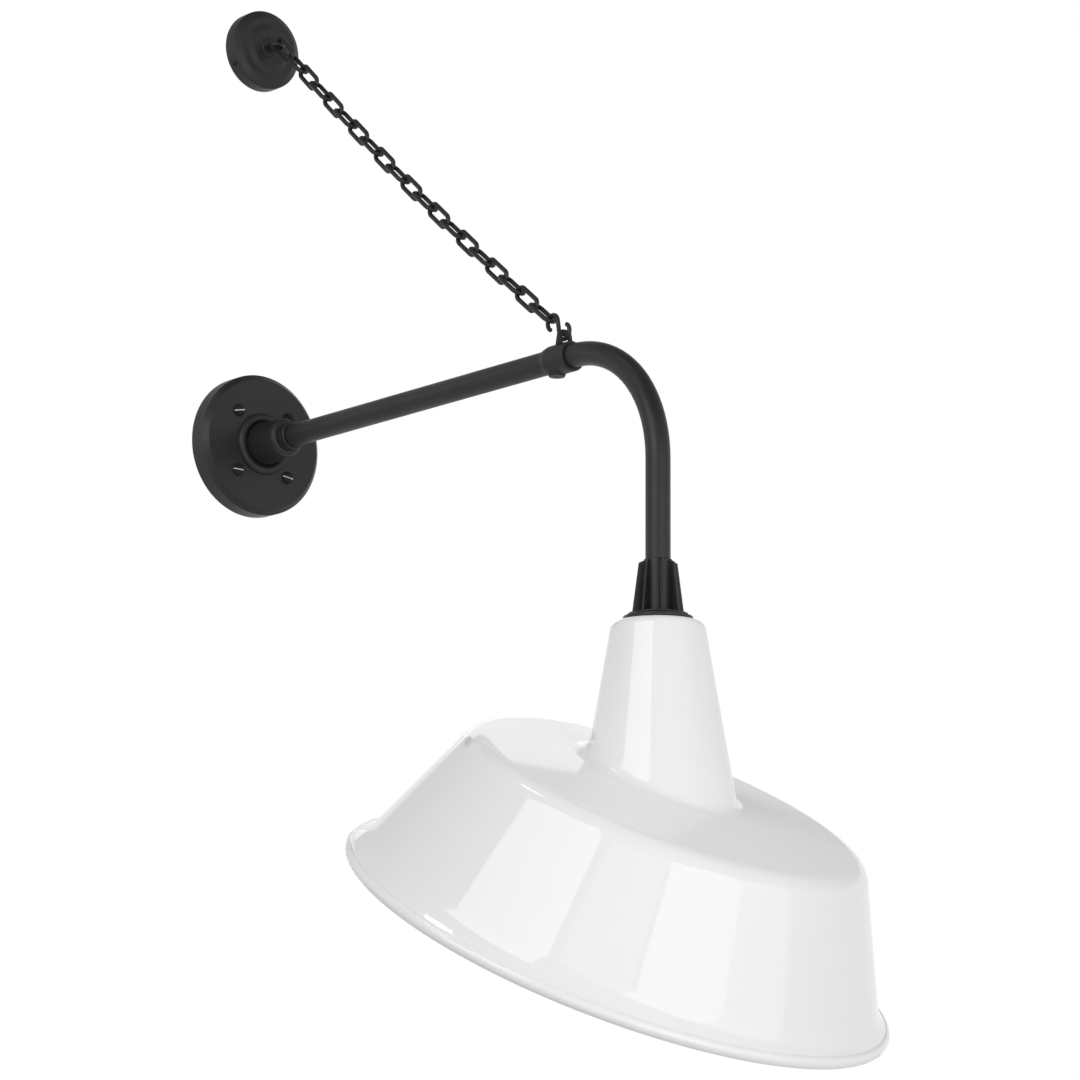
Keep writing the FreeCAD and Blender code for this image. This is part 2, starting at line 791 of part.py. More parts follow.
DROP = dict(y="-dim.arm_reach", z="-dim.fitter_drop")
NIPPLE_BORE = "(dim.nipple_radius + dim.seat_gap)"
HUB_RADIUS = "(dim.pipe_radius + dim.hub_wall)"


def make_fitter():
    """Hub on a stepped flange, with fins that widen downwards."""
    corners = (
        (NIPPLE_BORE, "0"),
        ("dim.flange_radius", "0"),
        ("dim.flange_radius", "dim.flange_lip"),
        ("dim.flange_step_radius", "dim.flange_bevel"),
        ("dim.flange_step_radius", "dim.flange_height"),
        (HUB_RADIUS, "dim.flange_height"),
        (HUB_RADIUS, "dim.hub_height"),
        (PIPE_BORE, "dim.hub_height"),
        (PIPE_BORE, "dim.hub_floor"),
        (NIPPLE_BORE, "dim.hub_floor"),
    )
    around = Rotation(Vector(0, 0, 1), value("dim.fin_turn"))
    hub = turned("fitter_hub", dict(turn=around, **DROP), corners)
    hub.setExpression("Placement.Rotation.Angle", "dim.fin_turn")
    rounded(hub, "dim.hub_round", (HUB_RADIUS, "dim.hub_height"))
    fin_corners = (
        ("dim.fin_root", "dim.flange_bevel"),
        ("dim.fin_foot", "dim.flange_bevel"),
        ("dim.fin_foot", "dim.flange_height"),
        ("dim.fin_tip", "dim.fin_height"),
        (HUB_RADIUS, "dim.fin_crown"),
        ("dim.fin_root", "dim.fin_crown"),
    )
    fin = hub.newObject("PartDesign::Pad", "fin")
    fin.Profile = outline(hub, "fin_outline", fin_corners)
    fin.SideType = "Symmetric"
    bind(fin, Length="dim.fin_thick")
    doc.recompute()
    fins = hub.newObject("PartDesign::PolarPattern", "fins")
    fins.Originals = [fin]
    fins.Axis = (next(item for item in hub.Origin.OriginFeatures if item.Role == "Z_Axis"), [""])
    fins.Angle = FULL_TURN
    bind(fins, Occurrences="dim.fin_count")
    hub.Tip = fins
    doc.recompute()
    angle = math.radians(value("dim.fitter_grub_angle"))
    across = radial(angle - math.radians(value("dim.fin_turn")))
    bored(hub, GRUB_HOLE, "dim.fin_foot", turn=across, z="dim.fitter_grub_place")
    keep(hub, "fitter_hub")
    place = dict(
        turn=radial(angle),
        x=PIPE_BORE + " * cos(dim.fitter_grub_angle)",
        y="%s * sin(dim.fitter_grub_angle) - dim.arm_reach" % PIPE_BORE,
        z="dim.fitter_grub_place - dim.fitter_drop",
    )
    grub_screw("fitter_set_screw", place, "%s - %s + dim.grub_proud" % (HUB_RADIUS, PIPE_BORE))


# Spun shade: an upright neck that opens into a tilted bowl

NECK_TOP = "(dim.fitter_drop + dim.seal_thick + 2 * dim.seat_gap)"
NIPPLE_HOLE = "(dim.nipple_radius + dim.screw_gap)"
FLARE_RADIUS = "(dim.bowl_radius - dim.flare_width)"
WALL_RUN = "((dim.shoulder_height - dim.flare_height) * tan(dim.wall_lean))"
SHOULDER_RADIUS = "(%s - %s)" % (FLARE_RADIUS, WALL_RUN)
CROWN_HEIGHT = "(dim.shoulder_height + %s * tan(dim.crown_slope))" % SHOULDER_RADIUS
NECK_RUN = "(dim.neck_height + %s * sin(dim.shade_tilt))" % CROWN_HEIGHT


def moved_in(corners, inset):
    """Corners of an outline (radius, height) whose runs all move in by the sheet's thickness."""
    runs = []
    for start, finish in zip(corners, corners[1:]):
        along = (finish - start).normalize()
        inward = Vector(-along.z, 0, along.x)
        runs.append((start + inward * inset, along))
    moved = [runs[0][0]]
    for (place, along), (after, heading) in zip(runs, runs[1:]):
        apart = after - place
        cross = along.x * heading.z - along.z * heading.x
        step = (apart.x * heading.z - apart.z * heading.x) / cross
        moved.append(place + along * step)
    last, along = runs[-1]
    moved.append(last + along * (last.x / -along.x))
    return moved


def softened(corners, radii):
    """Edges along an outline with its inner corners rounded."""
    edges = []
    start = corners[0]
    for before, corner, after, radius in zip(corners, corners[1:], corners[2:], radii):
        back = (before - corner).normalize()
        ahead = (after - corner).normalize()
        half = back.getAngle(ahead) / 2
        reach = radius / math.tan(half)
        enter = corner + back * reach
        leave = corner + ahead * reach
        bisector = (back + ahead).normalize()
        middle = corner + bisector * (radius / math.sin(half) - radius)
        edges.append(Part.makeLine(start, enter))
        edges.append(Part.Arc(enter, middle, leave).toShape())
        start = leave
    edges.append(Part.makeLine(start, corners[-1]))
    return edges


def spun(corners, radii):
    """Solid spun about Z from an outline that ends on the axis, with a flat underside."""
    foot = Vector(0, 0, corners[0].z)
    edges = softened(corners, radii)
    edges.append(Part.makeLine(corners[-1], foot))
    edges.append(Part.makeLine(foot, corners[0]))
    face = Part.Face(Part.Wire(edges))
    return face.revolve(Vector(0, 0, 0), Vector(0, 0, 1), FULL_TURN)


def neck_corners():
    """Neck outline from its foot, well inside the bowl, up to its flat top."""
    foot_radius = value("dim.neck_radius + %s * tan(dim.neck_taper)" % NECK_RUN)
    return [
        Vector(foot_radius, 0, -value(NECK_RUN)),
        Vector(value("dim.neck_radius"), 0, 0),
        Vector(0, 0, 0),
    ]


def bowl_corners():
    """Bowl outline from its bead up, about its own axis and above its rim plane."""
    return [
        Vector(value("dim.bowl_radius - dim.shade_wall"), 0, value("dim.bowl_bead + dim.bowl_bead / 2")),
        Vector(value(FLARE_RADIUS), 0, value("dim.flare_height")),
        Vector(value(SHOULDER_RADIUS), 0, value("dim.shoulder_height")),
        Vector(0, 0, value(CROWN_HEIGHT)),
    ]


def junction(solid):
    """Edges where the neck meets the bowl: the ones that are neither round nor straight."""
    return [edge for edge in solid.Edges if isinstance(edge.Curve, Part.BSplineCurve)]


def make_shade():
    """One sheet metal shell with a rolled bead round its mouth, turned about the drop axis."""
    wall = value("dim.shade_wall")
    top = Placement(Vector(0, 0, value("-" + NECK_TOP)), UPRIGHT)
    tilt = Rotation(Vector(1, 0, 0), value("dim.shade_tilt"))
    crown = Vector(0, -value("dim.crown_offset"), -value("%s + dim.neck_height" % NECK_TOP))
    rim = Placement(crown - tilt.multVec(Vector(0, 0, value(CROWN_HEIGHT))), tilt)
    neck_round = value("dim.neck_round")
    bends = [value("dim.flare_round"), value("dim.shoulder_round")]
    fillet = value("dim.neck_fillet")

    neck = spun(neck_corners(), [neck_round])
    bowl = spun(bowl_corners(), bends)
    neck.Placement = top
    bowl.Placement = rim
    outside = neck.fuse(bowl).removeSplitter()
    outside = outside.makeFillet(fillet, junction(outside))

    neck = spun(moved_in(neck_corners(), wall), [neck_round - wall])
    bowl = spun(moved_in(bowl_corners(), wall), [bends[0] + wall, bends[1] - wall])
    neck.Placement = top
    bowl.Placement = rim
    inside = neck.fuse(bowl).removeSplitter()
    inside = inside.makeFillet(fillet + wall, junction(inside))

    bead_radius = value("dim.bowl_bead")
    bead = Part.makeTorus(value("dim.bowl_radius - dim.bowl_bead"), bead_radius, Vector(0, 0, bead_radius))
    bead.Placement = rim
    hole = Part.makeCylinder(value(NIPPLE_HOLE), value("dim.neck_round"))
    hole.Placement = Placement(Vector(0, 0, value("-%s - dim.neck_round / 2" % NECK_TOP)), UPRIGHT)

    shade = doc.addObject("Part::Feature", "shade")
    shade.Shape = outside.cut(inside).fuse(bead).removeSplitter().cut(hole)
    around = Rotation(Vector(0, 0, 1), value("dim.shade_turn"))
    shade.Placement = Placement(Vector(0, -value("dim.arm_reach"), 0), around)
    keep(shade, "shade")


# Seal, nipple, washer and locknut that hold the shade against the fitter


def at_depth(formula, **turn):
    """A place on the drop axis at a depth below the arm's axis."""
    return dict(y="-dim.arm_reach", z="-(%s)" % formula, **turn)


NUT_TOP = "(%s + dim.shade_wall + dim.washer_thick + 2 * dim.seat_gap)" % NECK_TOP
CAP_TOP = "(%s + dim.nut_thick + dim.seat_gap)" % NUT_TOP
HOLDER_TOP = "(%s + dim.cap_height + dim.seat_gap)" % CAP_TOP


def make_neck_clamp():
    """Pieces stacked on the nipple, from the fitter down to the locknut inside the neck."""
    seal_foot = "dim.fitter_drop + dim.seal_thick + dim.seat_gap"
    ring("shade_gasket", at_depth(seal_foot), NIPPLE_HOLE, "dim.seal_radius", "dim.seal_thick")
    nipple_top = "dim.fitter_drop - dim.hub_floor + dim.seat_gap"
    inner = "dim.nipple_radius - dim.nipple_wall"
    place = at_depth(nipple_top + " + dim.nipple_length")
    ring("lamp_nipple", place, inner, "dim.nipple_radius", "dim.nipple_length")
    washer_foot = "%s - dim.seat_gap" % NUT_TOP
    ring("neck_washer", at_depth(washer_foot), NIPPLE_HOLE, "dim.washer_radius", "dim.washer_thick")
    hexagon = primitive(
        "Prism",
        "nut_hexagon",
        at_depth(CAP_TOP + " - dim.seat_gap"),
        Circumradius="dim.nut_radius",
        Height="dim.nut_thick",
    )
    hexagon.Polygon = round(value("dim.nut_side_count"))
    thread = primitive(
        "Cylinder",
        "nut_thread",
        at_depth(CAP_TOP + " + dim.overrun"),
        Radius=NIPPLE_BORE,
        Height="dim.nut_thick + 2 * dim.overrun",
    )
    keep(cut("locknut", hexagon, thread), "neck_locknut")


# Lampholder inside the neck: cap, ceramic body, screw shell, terminals and sprung centre contact


def make_lampholder():
    """Fixed pieces of the lampholder, each turned with its Z axis pointing down."""
    floor = "(dim.cap_height / 2)"
    cap_corners = (
        (NIPPLE_BORE, "0"),
        ("dim.cap_radius", "0"),
        ("dim.cap_radius", "dim.cap_height"),
        (NIPPLE_HOLE, "dim.cap_height"),
        (NIPPLE_HOLE, floor),
        (NIPPLE_BORE, floor),
    )
    cap = turned("lampholder_cap", at_depth(CAP_TOP, turn=DOWNWARD), cap_corners)
    keep(rounded(cap, "dim.cap_round", ("dim.cap_radius", "0")), "lampholder_cap")

    shell_outer = "(dim.shell_radius + dim.shell_wall)"
    shell_bore = "(%s + dim.seat_gap)" % shell_outer
    stem_bore = "(dim.contact_stem + dim.seat_gap)"
    stem_top = "(dim.holder_floor - dim.contact_stem_length)"
    holder_corners = (
        ("0", "0"),
        ("dim.holder_radius", "0"),
        ("dim.holder_radius", "dim.holder_length"),
        (shell_bore, "dim.holder_length"),
        (shell_bore, "dim.holder_floor"),
        (stem_bore, "dim.holder_floor"),
        (stem_bore, stem_top),
        ("0", stem_top),
    )
    holder = turned("lampholder_body", at_depth(HOLDER_TOP, turn=DOWNWARD), holder_corners)
    rounded(holder, "dim.holder_round", ("dim.holder_radius", "dim.holder_length"))
    for number, (side, angle) in enumerate((("", 0), ("-", math.pi)), start=1):
        hole_start = side + "(dim.holder_radius - dim.terminal_grip - dim.seat_gap)"
        depth = "dim.terminal_grip + dim.overrun"
        thread = "dim.terminal_shank + dim.seat_gap"
        bored(holder, thread, depth, turn=radial(angle), x=hole_start, z="dim.terminal_place")
        place = dict(
            turn=radial(angle),
            x=side + "(dim.holder_radius + dim.seat_gap)",
            y="-dim.arm_reach",
            z="-(%s + dim.terminal_place)" % HOLDER_TOP,
        )
        machine_screw(
            "lampholder_terminal_%d" % number,
            place,
            (("dim.terminal_shank", "dim.terminal_grip"),),
            "dim.terminal_head",
            "dim.terminal_height",
            "dim.terminal_round",
        )
    keep(holder, "lampholder_body")

    shell_length = "(dim.holder_length - dim.holder_floor - dim.shell_setback - dim.seat_gap)"
    shell_corners = (
        ("dim.shell_hole", "0"),
        (shell_outer + " - dim.shell_taper", "0"),
        (shell_outer, "dim.shell_taper_depth"),
        (shell_outer, shell_length),
        ("dim.shell_radius", shell_length),
        ("dim.shell_radius", "dim.shell_taper_depth"),
        ("dim.shell_radius - dim.shell_taper", "dim.shell_wall"),
        ("dim.shell_hole", "dim.shell_wall"),
    )
    shell_top = HOLDER_TOP + " + dim.holder_floor + dim.seat_gap"
    keep(turned("lampholder_shell", at_depth(shell_top, turn=DOWNWARD), shell_corners), "lampholder_shell")


def make_centre_contact():
    """Round contact on a stem that slides in the ceramic body."""
    corners = (
        ("0", "-dim.contact_stem_length"),
        ("dim.contact_stem", "-dim.contact_stem_length"),
        ("dim.contact_stem", "0"),
        ("dim.contact_button", "0"),
        ("dim.contact_button", "dim.contact_thick"),
        ("0", "dim.contact_thick"),
    )
    rest = "%s + dim.holder_floor + dim.shell_wall + dim.contact_travel + dim.hang_gap" % HOLDER_TOP
    contact = turned("centre_contact", at_depth(rest, turn=DOWNWARD), corners)
    face = ("dim.contact_button", "dim.contact_thick")
    keep(rounded(contact, "dim.contact_round", face), "centre_contact")


def check_pieces():
    """Stop if any object failed or any piece is not one sound solid."""
    doc.recompute()
    for thing in doc.Objects:
        if "Invalid" in thing.State or "Error" in thing.State:
            raise RuntimeError("%s failed: %s" % (thing.Label, thing.State))
    for piece in pieces:
        shape = piece.Shape
        if shape.isNull() or not shape.isValid() or len(shape.Solids) != 1:
            raise RuntimeError("%s is not one sound solid" % piece.Label)


def write_pieces():
    """Write each piece to a file under its own name."""
    os.makedirs("parts", exist_ok=True)
    for piece in pieces:
        piece.Shape.exportStep("parts/%s.step" % piece.Label)


make_wall_plate()
make_plate_fittings()
make_arm()
make_rosette_cover()
make_rosette_bracket()
make_screw_eye()
make_clamp()
make_s_hook()
make_chain()
make_fitter()
make_shade()
make_neck_clamp()
make_lampholder()
make_centre_contact()
check_pieces()
write_pieces()
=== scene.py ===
"""Dresses the barn light: its finishes, cut threads and lamp shell, and a plain studio round it."""

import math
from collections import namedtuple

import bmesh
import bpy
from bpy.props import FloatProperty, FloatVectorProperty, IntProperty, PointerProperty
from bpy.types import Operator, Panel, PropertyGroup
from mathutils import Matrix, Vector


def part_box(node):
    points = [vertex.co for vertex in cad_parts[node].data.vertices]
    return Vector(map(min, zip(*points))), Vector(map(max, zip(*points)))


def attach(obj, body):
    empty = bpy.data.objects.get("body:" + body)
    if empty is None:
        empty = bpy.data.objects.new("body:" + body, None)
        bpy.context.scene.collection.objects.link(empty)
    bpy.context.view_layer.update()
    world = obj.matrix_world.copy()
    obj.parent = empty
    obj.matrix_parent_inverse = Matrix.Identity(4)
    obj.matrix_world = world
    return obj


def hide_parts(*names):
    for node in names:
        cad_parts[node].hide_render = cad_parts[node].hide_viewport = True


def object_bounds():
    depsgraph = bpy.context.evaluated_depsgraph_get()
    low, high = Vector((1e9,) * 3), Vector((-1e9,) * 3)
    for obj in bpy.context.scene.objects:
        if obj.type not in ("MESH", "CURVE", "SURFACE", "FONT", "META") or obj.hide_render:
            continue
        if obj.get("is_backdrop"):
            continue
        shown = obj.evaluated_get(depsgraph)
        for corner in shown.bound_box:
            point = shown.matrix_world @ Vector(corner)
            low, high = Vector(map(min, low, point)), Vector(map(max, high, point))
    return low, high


bl_info = {
    "name": "Barn light dressing",
    "version": (1, 0, 0),
    "blender": (4, 5, 0),
    "location": "3D View > Sidebar > Barn light",
    "description": "Gives the barn light its finishes, threads and studio",
    "category": "Object",
}

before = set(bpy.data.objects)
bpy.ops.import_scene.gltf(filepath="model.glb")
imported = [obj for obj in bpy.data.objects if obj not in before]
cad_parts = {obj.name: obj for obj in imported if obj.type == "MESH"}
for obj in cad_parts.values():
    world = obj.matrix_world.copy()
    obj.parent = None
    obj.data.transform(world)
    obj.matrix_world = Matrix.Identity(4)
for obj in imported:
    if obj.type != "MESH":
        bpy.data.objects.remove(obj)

MM = 0.001
FULL_TURN = 2 * math.pi
SHARP_ANGLE = math.radians(35)
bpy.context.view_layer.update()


# Sizes and colours that a user would change


def tint(name, text, colour):
    """A colour property."""
    return FloatVectorProperty(name=name, description=text, default=colour, subtype="COLOR", min=0, max=1)


def length(name, text, metres):
    """A length property."""
    return FloatProperty(name=name, description=text, default=metres, unit="LENGTH", precision=5)


def share(name, text, number):
    """A property from 0 to 1."""
    return FloatProperty(name=name, description=text, default=number, subtype="FACTOR", min=0, max=1)


def angle(name, text, degrees):
    """An angle property."""
    return FloatProperty(name=name, description=text, default=math.radians(degrees), subtype="ANGLE")


class BarnLightCoat(PropertyGroup):
    """Black powder coat on the castings, the pipe and the chain."""

    colour: tint("Coat colour", "Colour of the powder coat", (0.01, 0.01, 0.0105))
    # Haze colour: random greyer clouds in the coat, and also the colour of the painted highlight along
    # edges
    haze_and_edge_highlight: tint("Haze colour", "Where the coat looks a little greyer", (0.018, 0.018, 0.019))
    gloss_low: share("Smoothest", "Roughness where the coat flowed out", 0.36)
    gloss_high: share("Roughest", "Roughness where the coat is thin", 0.5)
    cast_grain: length("Cast grain", "Grain of the castings under the coat", 1.1 * MM)
    cast_depth: length("Cast depth", "Depth of that grain", 0.05 * MM)
    pipe_grain: length("Pipe grain", "Grain of the coat on drawn pipe and wire", 0.7 * MM)
    pipe_depth: length("Pipe depth", "Depth of that grain", 0.02 * MM)
    shine: share("Shine", "How strongly the coat mirrors", 0.31)
    screw_shine: share("Screw shine", "How strongly the black of the wall screws mirrors", 0.1)


class BarnLightEnamel(PropertyGroup):
    """Porcelain enamel of the shade."""

    colour: tint("Enamel colour", "Colour of the enamel", (0.82, 0.82, 0.815))
    thin_colour: tint("Thin colour", "Enamel over tight bends, where it is thin", (0.76, 0.765, 0.77))
    gloss: share("Roughness", "Roughness of the fired surface", 0.04)
    wave: length("Wave", "Length of the soft waves in the fired surface", 22 * MM)
    wave_depth: length("Wave depth", "Depth of those waves", 0.02 * MM)


class BarnLightMetals(PropertyGroup):
    """Bare metals, porcelain and rubber."""

    zinc: tint("Zinc colour", "Plated steel", (0.6, 0.6, 0.61))
    brass: tint("Brass colour", "Lamp shell and terminals", (0.74, 0.52, 0.23))
    ground_green: tint("Green colour", "Dyed grounding screw", (0.03, 0.2, 0.07))
    porcelain: tint("Porcelain colour", "Glazed lampholder", (0.82, 0.8, 0.75))
    rubber: tint("Rubber colour", "Gaskets", (0.02, 0.02, 0.02))


class BarnLightThreads(PropertyGroup):
    """Cut and rolled threads, and screwdriver slots."""

    screw_pitch: length("Screw pitch", "Pitch of the wall screws", 1.06 * MM)
    screw_depth: length("Screw depth", "Depth of the wall screws' thread", 0.5 * MM)
    shell_pitch: length("Shell pitch", "Pitch of the lamp shell", 3.63 * MM)
    shell_depth: length("Shell depth", "Depth of the rolled thread", 0.55 * MM)
    shell_sheet: length("Shell sheet", "Sheet thickness of the lamp shell", 0.35 * MM)
    slot_width: length("Slot width", "Width of the screwdriver slots", 1.3 * MM)
    slot_depth: length("Slot depth", "Depth of the screwdriver slots", 1.5 * MM)
    sides: IntProperty(name="Sides", description="Faces round a thread", default=48, min=12)
    rings: IntProperty(name="Rings", description="Rings of faces in each pitch", default=8, min=4)


class BarnLightStage(PropertyGroup):
    """Camera, floor and lamps."""

    camera_place: FloatVectorProperty(
        name="Camera place",
        description="Where the camera stands, from the wall plate's back",
        default=(-2.16299, -3.05377, -0.84254),
        subtype="TRANSLATION",
        unit="LENGTH",
    )
    camera_heading: angle("Heading", "Camera's turn from straight at the wall", 39.588)
    camera_rise: angle("Rise", "How far the camera looks up", 11.419)
    camera_roll: angle("Roll", "Camera's lean", 0.324)
    camera_lens: FloatProperty(
        name="Lens",
        description="Focal length for a square picture",
        default=132.489,
        unit="CAMERA",
    )
    camera_sight: length("Sight", "How far the camera sees", 100.0)
    room_light: share("Room light", "How strongly the surround lights surfaces", 0.5)
    floor_drop: length("Floor drop", "Floor below the lowest point of the light", 2.0)
    floor_size: length("Floor size", "Side of the floor", 80.0)
    floor_colour: tint("Floor colour", "Colour of the paper on the floor", (0.86, 0.86, 0.86))
    floor_glow: share("Floor glow", "How far the floor looks white by itself", 0.6)


# Lamps round the shade: name, heading and rise in degrees, distance, width and height in metres,
# and brightness over the room's
LAMPS = (
    ("side_softbox", -104.5, 30.0, 2.0, 1.42, 1.07, 1.9),
    ("front_softbox", -174.0, -4.0, 2.1, 1.27, 1.8, 1.52),
    ("right_panel", 155.5, -4.0, 2.1, 1.0, 1.8, 0.68),
    ("back_panel", 34.0, 32.0, 2.2, 1.05, 0.74, 0.5),
    ("overhead_strip", -77.0, 68.0, 2.2, 0.4, 0.12, 9.0),
    ("left_panel", -142.0, -4.0, 2.1, 1.0, 1.8, 0.45),
)

# Watts for each square metre of a lamp as bright as the white surround
LAMP_WATTS = 4

# How bright the room looks at angles above the horizon: white surround, dark wall over it, ceiling
ROOM_SHADES = ((20.0, 1.0), (25.0, 0.62), (44.0, 0.55), (58.0, 0.2))


# Shader groups that several finishes share

# Size of the broad waves in a grain, in grains
BROAD_GRAIN = 5.0
EDGE_RADIUS = 0.5 * MM


def new_group(name, inputs, outputs):
    """An empty shader group with its sockets, and its two end nodes."""
    group = bpy.data.node_groups.new(name, "ShaderNodeTree")
    for label, kind, value in inputs:
        socket = group.interface.new_socket(label, in_out="INPUT", socket_type=kind)
        socket.default_value = value
    for label, kind in outputs:
        group.interface.new_socket(label, in_out="OUTPUT", socket_type=kind)
    start = group.nodes.new("NodeGroupInput")
    finish = group.nodes.new("NodeGroupOutput")
    return group, start, finish


def math_node(tree, operation, first, second=0.0):
    """A Math node whose inputs are sockets or numbers, and its result."""
    node = tree.nodes.new("ShaderNodeMath")
    node.operation = operation
    for socket, source in zip(node.inputs, (first, second)):
        if isinstance(source, bpy.types.NodeSocket):
            tree.links.new(source, socket)
        else:
            socket.default_value = source
    return node.outputs[0]


def noise_node(tree, place, scale, detail):
    """A noise that runs over a place, and its value."""
    node = tree.nodes.new("ShaderNodeTexNoise")
    node.inputs["Detail"].default_value = detail
    tree.links.new(place, node.inputs["Vector"])
    tree.links.new(scale, node.inputs["Scale"])
    return node.outputs["Fac"]


def grain_group():
    """Fine grain of a surface as a height, and slow clouds for its colour and gloss."""
    found = bpy.data.node_groups.get("surface_grain")
    if found:
        return found
    inputs = (
        ("Grain Size", "NodeSocketFloat", 1.0 * MM),
        ("Cloud Size", "NodeSocketFloat", 40 * MM),
        ("Wave Share", "NodeSocketFloat", 0.5),
    )
    outputs = (("Height", "NodeSocketFloat"), ("Cloud", "NodeSocketFloat"))
    group, start, finish = new_group("surface_grain", inputs, outputs)
    place = group.nodes.new("ShaderNodeTexCoord").outputs["Object"]
    fine_scale = math_node(group, "DIVIDE", 1.0, start.outputs["Grain Size"])
    broad_scale = math_node(group, "DIVIDE", fine_scale, BROAD_GRAIN)
    cloud_scale = math_node(group, "DIVIDE", 1.0, start.outputs["Cloud Size"])
    fine = noise_node(group, place, fine_scale, detail=3)
    broad = noise_node(group, place, broad_scale, detail=1)
    wave = math_node(group, "MULTIPLY", broad, start.outputs["Wave Share"])
    group.links.new(math_node(group, "ADD", fine, wave), finish.inputs["Height"])
    group.links.new(noise_node(group, place, cloud_scale, detail=4), finish.inputs["Cloud"])
    return group


def edge_group():
    """Softened normal across sharp edges, and a mask that is high along them."""
    found = bpy.data.node_groups.get("soft_edges")
    if found:
        return found
    inputs = (("Gain", "NodeSocketFloat", 6.0),)
    outputs = (("Edge", "NodeSocketFloat"), ("Normal", "NodeSocketVector"))
    group, start, finish = new_group("soft_edges", inputs, outputs)
    bevel = group.nodes.new("ShaderNodeBevel")
    bevel.samples = 4
    bevel.inputs["Radius"].default_value = EDGE_RADIUS
    surface = group.nodes.new("ShaderNodeNewGeometry")
    facing = group.nodes.new("ShaderNodeVectorMath")
    facing.operation = "DOT_PRODUCT"
    group.links.new(bevel.outputs["Normal"], facing.inputs[0])
    group.links.new(surface.outputs["Normal"], facing.inputs[1])
    turned = math_node(group, "SUBTRACT", 1.0, facing.outputs["Value"])
    gained = math_node(group, "MULTIPLY", turned, start.outputs["Gain"])
    edge = group.nodes.new("ShaderNodeClamp")
    group.links.new(gained, edge.inputs["Value"])
    group.links.new(edge.outputs["Result"], finish.inputs["Edge"])
    group.links.new(bevel.outputs["Normal"], finish.inputs["Normal"])
    return group


class Finish:
    """A material under way: its node tree, its shader and short ways to feed them."""

    def __init__(self, name):
        self.material = bpy.data.materials.new(name)
        self.material.use_nodes = True
        self.tree = self.material.node_tree
        self.shader = self.tree.nodes["Principled BSDF"]

    def group(self, tree, **values):
        """Place a shared group with this material's own values."""
        node = self.tree.nodes.new("ShaderNodeGroup")
        node.node_tree = tree
        for label, value in values.items():
            node.inputs[label.replace("_", " ")].default_value = value
        return node

    def blend(self, mask, low, high):
        """A colour that runs from low to high with a mask. Either may be a socket."""
        node = self.tree.nodes.new("ShaderNodeMix")
        node.data_type = "RGBA"
        self.tree.links.new(mask, node.inputs["Factor"])
        for socket, colour in ((node.inputs["A"], low), (node.inputs["B"], high)):
            if isinstance(colour, bpy.types.NodeSocket):
                self.tree.links.new(colour, socket)
            else:
                socket.default_value = (*colour, 1.0)
        return node.outputs["Result"]

    def spread(self, mask, low, high, narrow=0.35, wide=0.65):
        """A number that runs from low to high while a mask runs from narrow to wide."""
        node = self.tree.nodes.new("ShaderNodeMapRange")
        self.tree.links.new(mask, node.inputs["Value"])
        for label, number in zip(("From Min", "From Max", "To Min", "To Max"), (narrow, wide, low, high)):
            node.inputs[label].default_value = number
        return node.outputs["Result"]

    def bump(self, height, depth, normal=None):
        """Raise the surface by a height, over a normal if one is given."""
        node = self.tree.nodes.new("ShaderNodeBump")
        node.inputs["Distance"].default_value = depth
        self.tree.links.new(height, node.inputs["Height"])
        if normal:
            self.tree.links.new(normal, node.inputs["Normal"])
        return node.outputs["Normal"]

    def feed(self, **sources):
        """Set the shader's own sockets to numbers, or link them."""
        for label, source in sources.items():
            socket = self.shader.inputs[label.replace("_", " ")]
            if isinstance(source, bpy.types.NodeSocket):
                self.tree.links.new(source, socket)
            else:
                socket.default_value = source
        return self.material


def once(build):
    """Make a material the first time it is asked for, and find it again after that."""

    def found_or_built(name, *values, **named):
        return bpy.data.materials.get(name) or build(name, *values, **named)

    return found_or_built


def scaled(colour, factor):
    """A colour made darker or lighter."""
    return tuple(channel * factor for channel in colour)


@once
def coat_finish(name, coat, grain_size, grain_depth, shine):
    """Satin black powder coat, lighter along its edges: thin coat there, and a painted highlight."""
    finish = Finish(name)
    grain = finish.group(grain_group(), Grain_Size=grain_size, Cloud_Size=70 * MM, Wave_Share=0.8)
    edges = finish.group(edge_group(), Gain=4.0)
    cloudy = finish.blend(grain.outputs["Cloud"], coat.colour, coat.haze_and_edge_highlight)
    # Lighter along edges: partly thin coat, partly a painted highlight on the edges
    thin = finish.spread(edges.outputs["Edge"], low=0.0, high=0.4, narrow=0.0, wide=1.0)
    return finish.feed(
        Base_Color=finish.blend(thin, cloudy, coat.haze_and_edge_highlight),
        Roughness=finish.spread(grain.outputs["Cloud"], low=coat.gloss_low, high=coat.gloss_high),
        Specular_IOR_Level=shine,
        Normal=finish.bump(grain.outputs["Height"], grain_depth, edges.outputs["Normal"]),
    )


@once
def enamel_finish(name, enamel):
    """Fired porcelain enamel with soft waves."""
    finish = Finish(name)
    wave = finish.group(grain_group(), Grain_Size=enamel.wave, Cloud_Size=120 * MM, Wave_Share=1.0)
    edges = finish.group(edge_group(), Gain=3.0)
    slight = finish.spread(wave.outputs["Cloud"], low=0.0, high=0.12)
    cloudy = finish.blend(slight, enamel.colour, enamel.thin_colour)
    thin = finish.spread(edges.outputs["Edge"], low=0.0, high=0.5, narrow=0.0, wide=1.0)
    return finish.feed(
        Base_Color=finish.blend(thin, cloudy, enamel.thin_colour),
        Roughness=finish.spread(wave.outputs["Cloud"], low=enamel.gloss, high=enamel.gloss * 1.6),
        Normal=finish.bump(wave.outputs["Height"], enamel.wave_depth),
    )


